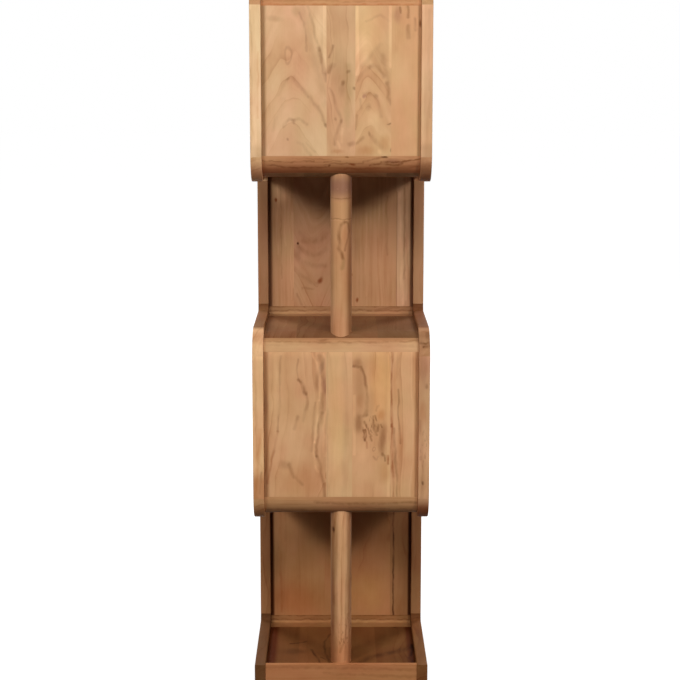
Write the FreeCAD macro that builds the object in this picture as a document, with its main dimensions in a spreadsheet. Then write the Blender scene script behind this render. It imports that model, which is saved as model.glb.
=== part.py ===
import FreeCAD, Part
import math
import os
import Sketcher

# Spine bookshelf: one flat ribbon of solid wood, folded back and forth in side view.
# Two narrow side frames carry the ribbon, and glued-up boards fill it between them.
# Frame: +X to the right, +Y to the rear, +Z up. The origin is on the floor, under the middle of the outline.

SIZES = {
    # outline
    "overall_width": 400,
    "overall_depth": 350,
    "lower_opening": 338,
    "box_opening": 361.5,
    "upper_opening": 329,
    # side frames
    "frame_width": 25,
    "frame_depth": 42,
    "frame_corner_radius": 68,
    "frame_inner_radius": 12,
    "frame_edge_round": 2,
    "joint_rise": 16,
    # panels held between the side frames
    "panel_thickness": 20,
    "panel_corner_radius": 54,
    "panel_inner_radius": 6,
    "panel_edge_round": 1.5,
    # cross-grain blocks that turn the panels round each corner
    "nose_reach": 22,
    "corner_block_reach": 54,
    "tall_block_rise": 49,
    "short_block_rise": 39,
    # lips that close the two free ends of the ribbon
    "lip_thickness": 12,
    "lip_recess": 2,
    # round posts
    "post_diameter": 48,
    "post_setback": 60,
    "post_clearance": 0.15,
    "mortise_depth": 9,
    # dowels in the frame joints
    "frame_dowel_diameter": 8,
    "frame_dowel_length": 36,
    "frame_dowel_spacing": 16,
    # dowels between the panels and the side frames
    "panel_dowel_diameter": 6,
    "panel_dowel_length": 20,
    "block_dowel_inset": 8,
    "dowel_clearance": 0.1,
    "dowel_end_gap": 0.5,
    # seams between boards: the outer boards by their width, the middle seam from the centre line
    "lower_rear_left_board": 135,
    "lower_rear_right_board": 52,
    "lower_rear_middle_seam": 20,
    "lower_front_left_board": 141,
    "lower_front_right_board": 64,
    "lower_front_middle_seam": 25,
    "upper_rear_left_board": 61,
    "upper_rear_right_board": 41,
    "upper_rear_middle_seam": -5,
    "upper_front_left_board": 143,
    "upper_front_right_board": 65,
    "upper_front_middle_seam": 31,
    "shelf_left_board": 74,
    "shelf_right_board": 92,
    "shelf_middle_seam": -12,
}

doc = FreeCAD.newDocument("SpineBookshelf")
sheet = doc.addObject("Spreadsheet::Sheet", "Sizes")
for row, (alias, size) in enumerate(SIZES.items(), start=1):
    sheet.set(f"A{row}", alias.replace("_", " "))
    sheet.set(f"B{row}", str(size))
    sheet.setAlias(f"B{row}", alias)
doc.recompute()

# ---------------------------------------------------------------- expressions for the main lines


def size(alias):
    return f"Sizes.{alias}"


def add(*terms):
    return " + ".join(f"({term})" for term in terms)


def less(first, *terms):
    return f"({first})" + "".join(f" - ({term})" for term in terms)


def half(term):
    return f"({term}) / 2"


def value(expression):
    return float(sheet.evalExpression(expression))


FRAME_DEPTH = size("frame_depth")
FRONT = less("0", half(size("overall_depth")))
REAR = half(size("overall_depth"))
FRONT_INNER = add(FRONT, FRAME_DEPTH)
REAR_INNER = less(REAR, FRAME_DEPTH)
SIDE = half(size("overall_width"))
SIDE_INNER = less(SIDE, size("frame_width"))
SIDES = {"left": "-1", "right": "1"}

# Undersides of the five level runs, from the floor up; each run is one frame depth thick.
LEVELS = ["0"]
for clear_height in ("lower_opening", "box_opening", "upper_opening", "box_opening"):
    LEVELS.append(add(LEVELS[-1], FRAME_DEPTH, size(clear_height)))
BASE, LOWER_FLOOR, LOWER_TOP, UPPER_FLOOR, TOP = LEVELS


def top_of(level):
    return add(level, FRAME_DEPTH)


# How far the panel faces lie inside the faces of the side frames, and where the panels stop behind a lip.
PANEL_INSET = half(less(FRAME_DEPTH, size("panel_thickness")))
PANEL_END = add(size("lip_recess"), size("lip_thickness"))

# ---------------------------------------------------------------- the ribbon's side outline


def ribbon_corners(inset, end_inset, outer_radius, inner_radius):
    """Corners (y, z, radius) of the folded ribbon. inset moves its faces in, and end_inset its two ends."""
    front, rear = add(FRONT, inset), less(REAR, inset)
    front_inner, rear_inner = less(FRONT_INNER, inset), add(REAR_INNER, inset)
    front_end, rear_end = add(FRONT, end_inset), less(REAR, end_inset)
    under = {level: add(level, inset) for level in LEVELS}
    over = {level: less(top_of(level), inset) for level in LEVELS}
    rear_side = [
        (front_end, under[BASE], None),
        (rear, under[BASE], outer_radius),
        (rear, over[LOWER_FLOOR], outer_radius),
        (front_inner, over[LOWER_FLOOR], inner_radius),
        (front_inner, under[LOWER_TOP], inner_radius),
        (rear, under[LOWER_TOP], outer_radius),
        (rear, over[UPPER_FLOOR], outer_radius),
        (front_inner, over[UPPER_FLOOR], inner_radius),
        (front_inner, under[TOP], inner_radius),
        (rear_end, under[TOP], None),
    ]
    front_side = [
        (rear_end, over[TOP], None),
        (front, over[TOP], outer_radius),
        (front, under[UPPER_FLOOR], outer_radius),
        (rear_inner, under[UPPER_FLOOR], inner_radius),
        (rear_inner, over[LOWER_TOP], inner_radius),
        (front, over[LOWER_TOP], outer_radius),
        (front, under[LOWER_FLOOR], outer_radius),
        (rear_inner, under[LOWER_FLOOR], inner_radius),
        (rear_inner, over[BASE], inner_radius),
        (front_end, over[BASE], None),
    ]
    return rear_side + front_side


def step_along(before, after):
    """Unit step (along y, along z) of the straight edge from one corner to the next."""
    run = value(after[0]) - value(before[0])
    climb = value(after[1]) - value(before[1])
    if abs(run) > abs(climb):
        return (1 if run > 0 else -1, 0)
    return (0, 1 if climb > 0 else -1)


def shifted(corner, step, distance):
    """The corner's coordinates, moved by a distance along a unit step."""
    return tuple(
        add(place, f"{way} * ({distance})") if way else place
        for place, way in zip(corner[:2], step)
    )


def point(place):
    return FreeCAD.Vector(value(place[0]), value(place[1]), 0)


def pin_down(sketch, edge, end, place):
    """Tie one end of a sketch line to its two coordinates."""
    for kind, coordinate in (("DistanceX", place[0]), ("DistanceY", place[1])):
        index = sketch.addConstraint(Sketcher.Constraint(kind, -1, 1, edge, end, value(coordinate)))
        sketch.setExpression(f"Constraints[{index}]", coordinate)


def draw_outline(sketch, corners):
    """A closed outline of level and upright lines, with an arc at each corner that has a radius."""
    count = len(corners)
    steps = [step_along(corners[i], corners[(i + 1) % count]) for i in range(count)]
    arrivals, departures = [], []
    for i, corner in enumerate(corners):
        radius = corner[2]
        back = tuple(-part for part in steps[i - 1])
        arrivals.append(corner[:2] if radius is None else shifted(corner, back, radius))
        departures.append(corner[:2] if radius is None else shifted(corner, steps[i], radius))
    lines = []
    for i in range(count):
        ends = point(departures[i]), point(arrivals[(i + 1) % count])
        lines.append(sketch.addGeometry(Part.LineSegment(*ends)))
    for i, corner in enumerate(corners):
        pin_down(sketch, lines[i], 1, departures[i])
        if corner[2] is None:
            sketch.addConstraint(Sketcher.Constraint("Coincident", lines[i - 1], 2, lines[i], 1))
            continue
        pin_down(sketch, lines[i - 1], 2, arrivals[i])
        turns_left = steps[i - 1][0] * steps[i][1] - steps[i - 1][1] * steps[i][0] > 0
        begin = point(arrivals[i] if turns_left else departures[i])
        centre = point(arrivals[i]) + point(departures[i]) - point(corner[:2])
        angle = math.atan2(begin.y - centre.y, begin.x - centre.x)
        circle = Part.Circle(centre, FreeCAD.Vector(0, 0, 1), value(corner[2]))
        arc = sketch.addGeometry(Part.ArcOfCircle(circle, angle, angle + math.pi / 2))
        first, last = (1, 2) if turns_left else (2, 1)
        sketch.addConstraint(Sketcher.Constraint("Coincident", arc, first, lines[i - 1], 2))
        sketch.addConstraint(Sketcher.Constraint("Coincident", arc, last, lines[i], 1))
        index = sketch.addConstraint(Sketcher.Constraint("Radius", arc, value(corner[2])))
        sketch.setExpression(f"Constraints[{index}]", corner[2])


def ribbon(name, corners, width):
    """A body with the ribbon's outline, padded to a width that is centred on the YZ plane."""
    body = doc.addObject("PartDesign::Body", name)
    upright = next(plane for plane in body.Origin.OriginFeatures if plane.Role == "YZ_Plane")
    sketch = body.newObject("Sketcher::SketchObject", f"{name}_outline")
    sketch.AttachmentSupport = [(upright, "")]
    sketch.MapMode = "FlatFace"
    doc.recompute()
    draw_outline(sketch, corners)
    pad = body.newObject("PartDesign::Pad", f"{name}_pad")
    pad.Profile = sketch
    pad.SideType = "Symmetric"
    pad.setExpression("Length", width)
    sketch.Visibility = False
    doc.recompute()
    return body, pad


def round_side_edges(body, pad, radius):
    """Ease every edge of the two side faces of a padded ribbon."""
    sides = [
        f"Face{number}"
        for number, face in enumerate(pad.Shape.Faces, start=1)
        if abs(face.normalAt(0, 0).x) > 0.999
    ]
    easing = body.newObject("PartDesign::Fillet", f"{body.Name}_eased")
    easing.Base = (pad, sides)
    easing.setExpression("Radius", radius)
    body.Tip = easing
    doc.recompute()


frame_corners = ribbon_corners("0", "0", size("frame_corner_radius"), size("frame_inner_radius"))
frame_ribbons = {}
for side, sign in SIDES.items():
    body, pad = ribbon(f"{side}_frame_ribbon", frame_corners, size("frame_width"))
    round_side_edges(body, pad, size("frame_edge_round"))
    offset = less(SIDE, half(size("frame_width")))
    body.setExpression("Placement.Base.x", f"{sign} * ({offset})")
    frame_ribbons[side] = body

panel_corners = ribbon_corners(
    PANEL_INSET, PANEL_END, size("panel_corner_radius"), size("panel_inner_radius")
)
panel_ribbon, panel_pad = ribbon("panel_ribbon", panel_corners, f"2 * ({SIDE_INNER})")
round_side_edges(panel_ribbon, panel_pad, size("panel_edge_round"))

# ---------------------------------------------------------------- pieces cut from the ribbons

pieces = []


def keep(piece, label, solids=1):
    """Mark an object as a finished piece, with its own label and number of solids."""
    piece.Label = label
    pieces.append((piece, solids))
    return piece


def cuboid(name, x_range, y_range, z_range):
    box = doc.addObject("Part::Box", name)
    ranges = {"Length": ("x", x_range), "Width": ("y", y_range), "Height": ("z", z_range)}
    for extent, (axis, (low, high)) in ranges.items():
        box.setExpression(extent, less(high, low))
        box.setExpression(f"Placement.Base.{axis}", low)
    return box


def cylinder(name, diameter, length, middle, along):
    """A round bar centred on a point, with its axis along z or x."""
    bar = doc.addObject("Part::Cylinder", name)
    bar.setExpression("Radius", half(diameter))
    bar.setExpression("Height", length)
    if along == "x":
        bar.Placement.Rotation = FreeCAD.Rotation(FreeCAD.Vector(0, 1, 0), 90)
    for axis, coordinate in zip("xyz", middle):
        start = less(coordinate, half(length)) if axis == along else coordinate
        bar.setExpression(f"Placement.Base.{axis}", start)
    return bar


def common(name, base, tool):
    shared = doc.addObject("Part::Common", name)
    shared.Base = base
    shared.Tool = tool
    return shared


def cut(name, base, tool):
    rest = doc.addObject("Part::Cut", name)
    rest.Base = base
    rest.Tool = tool
    return rest


def together(name, members):
    group = doc.addObject("Part::Compound", name)
    group.Links = members
    return group


# ---------------------------------------------------------------- where the pieces meet

STOCK_MARGIN = "5"  # rough stock stands this far past the finished faces
OUTER = add(SIDE, STOCK_MARGIN)
WHOLE_WIDTH = (less("0", OUTER), OUTER)
FULL_DEPTH = (less(FRONT, STOCK_MARGIN), add(REAR, STOCK_MARGIN))
FULL_HEIGHT = (less(BASE, STOCK_MARGIN), add(top_of(TOP), STOCK_MARGIN))
FRONT_RUN = (FRONT, FRONT_INNER)
REAR_RUN = (REAR_INNER, REAR)

# side frame runners; name: (underside of the run, has a stub below, has a stub above)
RUNNERS = {
    "base_runner": (BASE, False, True),
    "lower_box_floor_runner": (LOWER_FLOOR, True, True),
    "lower_box_top_runner": (LOWER_TOP, True, True),
    "upper_box_floor_runner": (UPPER_FLOOR, True, True),
    "top_runner": (TOP, True, False),
}

# side frame stiles; name: (run in depth, level run below, level run above)
STILES = {
    "lower_rear_stile": (REAR_RUN, BASE, LOWER_FLOOR),
    "lower_front_stile": (FRONT_RUN, LOWER_FLOOR, LOWER_TOP),
    "upper_rear_stile": (REAR_RUN, LOWER_TOP, UPPER_FLOOR),
    "upper_front_stile": (FRONT_RUN, UPPER_FLOOR, TOP),
}


def joint_above(level):
    return add(top_of(level), size("joint_rise"))


def joint_below(level):
    return less(level, size("joint_rise"))


NOSE = add(PANEL_INSET, size("nose_reach"))
BLOCK = add(PANEL_INSET, size("corner_block_reach"))
TALL = add(PANEL_INSET, size("tall_block_rise"))
SHORT = add(PANEL_INSET, size("short_block_rise"))
FRONT_NOSE = (less(FRONT, STOCK_MARGIN), add(FRONT, NOSE))
REAR_BLOCK = (less(REAR, BLOCK), add(REAR, STOCK_MARGIN))

# cross-grain blocks; name: (depth, run of the upright leg, level, rise, which way the upright leg goes)
BLOCKS = {
    "base_rear_corner_block": (REAR_BLOCK, REAR_RUN, BASE, SHORT, "up"),
    "lower_box_floor_rear_block": (REAR_BLOCK, REAR_RUN, LOWER_FLOOR, SHORT, "down"),
    "lower_box_floor_nose": (FRONT_NOSE, FRONT_RUN, LOWER_FLOOR, TALL, "up"),
    "lower_box_top_nose": (FRONT_NOSE, FRONT_RUN, LOWER_TOP, SHORT, "down"),
    "lower_box_top_rear_block": (REAR_BLOCK, REAR_RUN, LOWER_TOP, SHORT, "up"),
    "upper_box_floor_rear_block": (REAR_BLOCK, REAR_RUN, UPPER_FLOOR, SHORT, "down"),
    "upper_box_floor_nose": (FRONT_NOSE, FRONT_RUN, UPPER_FLOOR, TALL, "up"),
    "top_nose": (FRONT_NOSE, FRONT_RUN, TOP, TALL, "down"),
}

# upright panels; name: (run in depth, foot joint, head joint)
UPRIGHT_PANELS = {
    "lower_rear": (REAR_RUN, add(BASE, SHORT), less(top_of(LOWER_FLOOR), SHORT)),
    "lower_front": (FRONT_RUN, add(LOWER_FLOOR, TALL), less(top_of(LOWER_TOP), SHORT)),
    "upper_rear": (REAR_RUN, add(LOWER_TOP, SHORT), less(top_of(UPPER_FLOOR), SHORT)),
    "upper_front": (FRONT_RUN, add(UPPER_FLOOR, TALL), less(top_of(TOP), TALL)),
}

# level panels; name: (level run, front joint, rear joint, seams mirrored)
LEVEL_PANELS = {
    "base_boards": (BASE, add(FRONT, PANEL_END), REAR_BLOCK[0], False),
    "lower_box_floor_boards": (LOWER_FLOOR, FRONT_NOSE[1], REAR_BLOCK[0], True),
    "lower_box_top_boards": (LOWER_TOP, FRONT_NOSE[1], REAR_BLOCK[0], False),
    "upper_box_floor_boards": (UPPER_FLOOR, FRONT_NOSE[1], REAR_BLOCK[0], True),
    "top_boards": (TOP, FRONT_NOSE[1], less(REAR, PANEL_END), False),
}

# ---------------------------------------------------------------- dowels

DOWELS_PER_PANEL_EDGE = 3
BORE_GROWTH = f"2 * {size('dowel_clearance')}"
BORE_DEPTH_GROWTH = f"2 * {size('dowel_end_gap')}"


def frame_dowels(prefix, sign, diameter, length):
    """Two upright dowels across each joint between a stile and a runner."""
    inset = half(less(size("frame_width"), half(size("panel_dowel_length"))))
    x = f"{sign} * ({less(SIDE, inset)})"
    bars = []
    for stile, (run, below, above) in STILES.items():
        for end, joint in (("foot", joint_above(below)), ("head", joint_below(above))):
            for place, way in (("front", "-1"), ("rear", "1")):
                y = add(half(add(*run)), f"{way} * {half(size('frame_dowel_spacing'))}")
                bars.append(cylinder(f"{prefix}_{stile}_{end}_{place}", diameter, length, (x, y, joint), "z"))
    return bars


def panel_dowel_places():
    """Names and (y, z) places of the dowels along the side edges of every panel and block."""
    places = {}
    shares = [f"{number} / {DOWELS_PER_PANEL_EDGE + 1}" for number in range(1, DOWELS_PER_PANEL_EDGE + 1)]
    for name, (run, foot, head) in UPRIGHT_PANELS.items():
        for number, share in enumerate(shares, start=1):
            places[f"{name}_{number}"] = (half(add(*run)), add(foot, f"{share} * ({less(head, foot)})"))
    for name, (level, front_joint, rear_joint, _) in LEVEL_PANELS.items():
        for number, share in enumerate(shares, start=1):
            y = add(front_joint, f"{share} * ({less(rear_joint, front_joint)})")
            places[f"{name}_{number}"] = (y, add(level, half(FRAME_DEPTH)))
    for name, (_, run, level, rise, way) in BLOCKS.items():
        climb = less(rise, size("block_dowel_inset"))
        z = add(level, climb) if way == "up" else less(top_of(level), climb)
        places[name] = (half(add(*run)), z)
    return places


def panel_dowels(prefix, sign, diameter, length):
    """Level dowels across the joint between the panels and one side frame."""
    x = f"{sign} * ({SIDE_INNER})"
    return [
        cylinder(f"{prefix}_{name}", diameter, length, (x, y, z), "x")
        for name, (y, z) in panel_dowel_places().items()
    ]


def bore_for(diameter, length):
    """Diameter and length of the bore that takes a dowel, with room round it and at both its ends."""
    return add(diameter, BORE_GROWTH), add(length, BORE_DEPTH_GROWTH)


FRAME_DOWEL = (size("frame_dowel_diameter"), size("frame_dowel_length"))
PANEL_DOWEL = (size("panel_dowel_diameter"), size("panel_dowel_length"))

panel_bores = {}
frame_stock = {}
for side, sign in SIDES.items():
    dowels = {
        "frame": frame_dowels(f"{side}_frame_dowel", sign, *FRAME_DOWEL),
        "panel": panel_dowels(f"{side}_panel_dowel", sign, *PANEL_DOWEL),
    }
    for kind, bars in dowels.items():
        keep(together(f"{side}_{kind}_dowel_set", bars), f"{side}_{kind}_dowels", solids=len(bars))
    frame_bores = frame_dowels(f"{side}_frame_bore", sign, *bore_for(*FRAME_DOWEL))
    panel_bores[side] = panel_dowels(f"{side}_panel_bore", sign, *bore_for(*PANEL_DOWEL))
    bores = together(f"{side}_bores", frame_bores + panel_bores[side])
    frame_stock[side] = cut(f"{side}_frame_stock", frame_ribbons[side], bores)

# ---------------------------------------------------------------- side frames

for side, across in (("left", (WHOLE_WIDTH[0], "0")), ("right", ("0", WHOLE_WIDTH[1]))):
    members = {}
    for name, (level, stub_below, stub_above) in RUNNERS.items():
        low = joint_below(level) if stub_below else less(level, STOCK_MARGIN)
        high = joint_above(level) if stub_above else add(top_of(level), STOCK_MARGIN)
        members[name] = (low, high)
    for name, (_, below, above) in STILES.items():
        members[name] = (joint_above(below), joint_below(above))
    for name, height in members.items():
        node = f"{side}_{name}"
        stock = cuboid(f"{node}_stock", across, FULL_DEPTH, height)
        keep(common(f"{node}_piece", stock, frame_stock[side]), node)

# ---------------------------------------------------------------- posts and their mortises

POST_FRONT = add(FRONT, size("post_setback"))
POST_REAR = less(REAR, size("post_setback"))

# name: (place in depth, level run below, level run above)
POSTS = {
    "lower_opening_post": (POST_FRONT, BASE, LOWER_FLOOR),
    "lower_box_post": (POST_REAR, LOWER_FLOOR, LOWER_TOP),
    "upper_opening_post": (POST_FRONT, LOWER_TOP, UPPER_FLOOR),
    "upper_box_post": (POST_REAR, UPPER_FLOOR, TOP),
}

housings = []
for node, (depth, below, above) in POSTS.items():
    foot = less(top_of(below), PANEL_INSET, size("mortise_depth"))
    head = add(above, PANEL_INSET, size("mortise_depth"))
    length = less(head, foot)
    middle = ("0", depth, half(add(foot, head)))
    keep(cylinder(f"{node}_bar", size("post_diameter"), length, middle, "z"), node)
    housing = add(size("post_diameter"), f"2 * {size('post_clearance')}")
    housings.append(cylinder(f"{node}_housing", housing, length, middle, "z"))
cavities = together("panel_cavities", housings + panel_bores["left"] + panel_bores["right"])
panel_stock = cut("panel_stock", panel_ribbon, cavities)

# ---------------------------------------------------------------- cross-grain blocks at the corners

for node, (depth, _, level, rise, way) in BLOCKS.items():
    if way == "up":
        height = (less(level, STOCK_MARGIN), add(level, rise))
    else:
        height = (less(top_of(level), rise), add(top_of(level), STOCK_MARGIN))
    keep(common(f"{node}_piece", cuboid(f"{node}_stock", WHOLE_WIDTH, depth, height), panel_stock), node)

# ---------------------------------------------------------------- boards


def board_edges(left_board, right_board, middle_seam, mirrored=False):
    """The X ranges of four boards side by side; the outer ones are cut from stock past the side frames."""
    left_seam = add(less("0", SIDE_INNER), size(left_board))
    right_seam = less(SIDE_INNER, size(right_board))
    seams = [left_seam, size(middle_seam), right_seam]
    if mirrored:
        seams = [less("0", seam) for seam in reversed(seams)]
    edges = [WHOLE_WIDTH[0], *seams, WHOLE_WIDTH[1]]
    return list(zip(edges[:-1], edges[1:]))


for panel, (depth, foot, head) in UPRIGHT_PANELS.items():
    whole = common(f"{panel}_panel", cuboid(f"{panel}_stock", WHOLE_WIDTH, depth, (foot, head)), panel_stock)
    edges = board_edges(f"{panel}_left_board", f"{panel}_right_board", f"{panel}_middle_seam")
    for number, across in enumerate(edges, start=1):
        node = f"{panel}_board_{number}"
        strip = cuboid(f"{node}_strip", across, depth, FULL_HEIGHT)
        keep(common(f"{node}_piece", strip, whole), node)

for node, (level, front_joint, rear_joint, mirrored) in LEVEL_PANELS.items():
    boards = []
    stock = cuboid(f"{node}_stock", WHOLE_WIDTH, (front_joint, rear_joint), (level, top_of(level)))
    whole = common(f"{node}_panel", stock, panel_stock)
    edges = board_edges("shelf_left_board", "shelf_right_board", "shelf_middle_seam", mirrored)
    for number, across in enumerate(edges, start=1):
        strip = cuboid(f"{node}_strip_{number}", across, FULL_DEPTH, (level, top_of(level)))
        boards.append(common(f"{node}_{number}", strip, whole))
    keep(together(f"{node}_set", boards), node, solids=len(boards))

# ---------------------------------------------------------------- lips on the free ends

BETWEEN_FRAMES = (less("0", SIDE_INNER), SIDE_INNER)
LIPS = {
    "base_front_lip": ((add(FRONT, size("lip_recess")), add(FRONT, PANEL_END)), (BASE, top_of(BASE))),
    "top_rear_lip": ((less(REAR, PANEL_END), less(REAR, size("lip_recess"))), (TOP, top_of(TOP))),
}
for node, (depth, height) in LIPS.items():
    keep(cuboid(f"{node}_bar", BETWEEN_FRAMES, depth, height), node)

# ---------------------------------------------------------------- checks and export

doc.recompute()
for thing in doc.Objects:
    if "Invalid" in thing.State or "Error" in thing.State:
        raise RuntimeError(f"{thing.Name} did not compute: {thing.State}")
for piece, solids in pieces:
    shape = piece.Shape
    if shape.isNull() or not shape.isValid():
        raise RuntimeError(f"{piece.Label} has no valid shape")
    if len(shape.Solids) != solids:
        raise RuntimeError(f"{piece.Label} has {len(shape.Solids)} solids instead of {solids}")

os.makedirs("parts", exist_ok=True)
for piece, _ in pieces:
    piece.Shape.exportStep(f"parts/{piece.Label}.step")
print(f"{len(pieces)} pieces written")
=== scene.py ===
"""The looks of a serpentine bookshelf in solid acacia: its wood, the studio light, floor and camera."""

import math
from collections import namedtuple

import bpy
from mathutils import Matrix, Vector


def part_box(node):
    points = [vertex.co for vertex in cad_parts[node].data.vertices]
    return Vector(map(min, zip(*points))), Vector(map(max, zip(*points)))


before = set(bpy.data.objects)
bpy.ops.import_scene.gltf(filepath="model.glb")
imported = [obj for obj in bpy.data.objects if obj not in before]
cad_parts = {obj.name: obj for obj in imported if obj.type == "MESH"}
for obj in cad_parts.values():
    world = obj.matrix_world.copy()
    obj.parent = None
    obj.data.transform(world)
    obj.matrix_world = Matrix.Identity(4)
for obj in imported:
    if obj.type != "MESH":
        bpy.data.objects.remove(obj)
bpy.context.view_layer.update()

MM = 0.001


# ---------------------------------------------------------------- node trees

class Graph:
    """Adds nodes to one tree. A value given to an input is a number, a tuple or another node's output."""

    def __init__(self, tree):
        self.tree = tree

    def feed(self, socket, value):
        if isinstance(value, bpy.types.NodeSocket):
            self.tree.links.new(value, socket)
        else:
            socket.default_value = value

    def put(self, kind, inputs, **settings):
        node = self.tree.nodes.new(kind)
        for name, value in settings.items():
            setattr(node, name, value)
        for key, value in inputs.items():
            self.feed(node.inputs[key], value)
        return node

    def number(self, operation, *values):
        return self.put("ShaderNodeMath", dict(enumerate(values)), operation=operation).outputs[0]

    def vector(self, operation, *values):
        node = self.put("ShaderNodeVectorMath", dict(enumerate(values)), operation=operation)
        return node.outputs["Value" if operation in ("LENGTH", "DOT_PRODUCT") else "Vector"]

    def scaled(self, vector, factor):
        inputs = {"Vector": vector, "Scale": factor}
        return self.put("ShaderNodeVectorMath", inputs, operation="SCALE").outputs[0]

    def parts(self, vector):
        return self.put("ShaderNodeSeparateXYZ", {0: vector}).outputs

    def join(self, x, y, z):
        return self.put("ShaderNodeCombineXYZ", {0: x, 1: y, 2: z}).outputs[0]

    def noise(self, vector, detail):
        """Noise with about one patch in each unit of the vector."""
        return self.put("ShaderNodeTexNoise", {"Vector": vector, "Scale": 1.0, "Detail": detail}).outputs

    def line_noise(self, place, detail=1.0):
        inputs = {"W": place, "Scale": 1.0, "Detail": detail}
        return self.put("ShaderNodeTexNoise", inputs, noise_dimensions="1D").outputs[0]

    def ease(self, value, low, high, start=0.0, end=1.0):
        """A smooth step from start, at low, to end, at high."""
        inputs = {"Value": value, "From Min": low, "From Max": high, "To Min": start, "To Max": end}
        return self.put("ShaderNodeMapRange", inputs, interpolation_type="SMOOTHSTEP").outputs[0]

    def blend(self, share, first, second, kind="MIX"):
        node = self.put("ShaderNodeMix", {}, data_type="RGBA", blend_type=kind)
        self.feed(node.inputs[0], share)
        self.feed(node.inputs[6], first)
        self.feed(node.inputs[7], second)
        return node.outputs[2]

    def group(self, tree, inputs):
        return self.put("ShaderNodeGroup", inputs, node_tree=tree)


def new_group(name, inputs, outputs):
    """An empty node group, its graph and its two end nodes. inputs and outputs give each socket's type."""
    tree = bpy.data.node_groups.new(name, "ShaderNodeTree")
    for label, kind in inputs.items():
        tree.interface.new_socket(label, in_out="INPUT", socket_type="NodeSocket" + kind)
    for label, kind in outputs.items():
        tree.interface.new_socket(label, in_out="OUTPUT", socket_type="NodeSocket" + kind)
    entry = tree.nodes.new("NodeGroupInput")
    exit_node = tree.nodes.new("NodeGroupOutput")
    return tree, Graph(tree), entry.outputs, exit_node.inputs


def empty_graph(owner):
    """The graph of a material's or a world's own nodes, emptied."""
    owner.use_nodes = True
    owner.node_tree.nodes.clear()
    return Graph(owner.node_tree)


def linear(red, green, blue):
    """An sRGB colour, 0 to 255, as the linear colour that a shader takes."""
    shares = [value / 255 for value in (red, green, blue)]
    return tuple(s / 12.92 if s <= 0.04045 else ((s + 0.055) / 1.055) ** 2.4 for s in shares) + (1.0,)


# ---------------------------------------------------------------- wood

PALE = linear(224, 182, 140)
TAN = linear(208, 162, 120)
BROWN = linear(178, 126, 86)
ROSY = (1.05, 0.95, 0.93, 1.0)
STRAW = (0.99, 1.03, 0.93, 1.0)
# how much of the slow change between ROSY and STRAW shows
HUE_SHARE = 0.7
# how light wood without figure is, where 0 is BROWN, 0.5 is TAN and 1 is PALE
PLAIN_WOOD = 0.33
ROUGHNESS = 0.44
NOISE_MIDDLE = (0.5, 0.5, 0.5)

# inks that a mark multiplies the wood's colour by; the dark ones also make painted shade, and CREAM also
# makes painted highlights and painted light
# a dark brown for stains, and also for painted shade
STAIN_AND_SHADE = (0.44, 0.34, 0.27, 1.0)
PITCH_BLACK = (0.16, 0.10, 0.07, 1.0)
ASH = (0.74, 0.75, 0.78, 1.0)
OLIVE = (0.70, 0.74, 0.62, 1.0)
RUST = (0.78, 0.58, 0.44, 1.0)
HONEY = (1.10, 1.08, 0.94, 1.0)
CREAM = (1.22, 1.28, 1.32, 1.0)
ROSE = (1.0, 0.92, 0.93, 1.0)
MAUVE = (0.70, 0.60, 0.66, 1.0)
UMBER = (0.50, 0.26, 0.16, 1.0)
# a grey-brown for dirt, and also for painted shade
GRIME_AND_SHADE = (0.50, 0.46, 0.40, 1.0)
DUSK = (0.57, 0.53, 0.67, 1.0)


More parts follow.
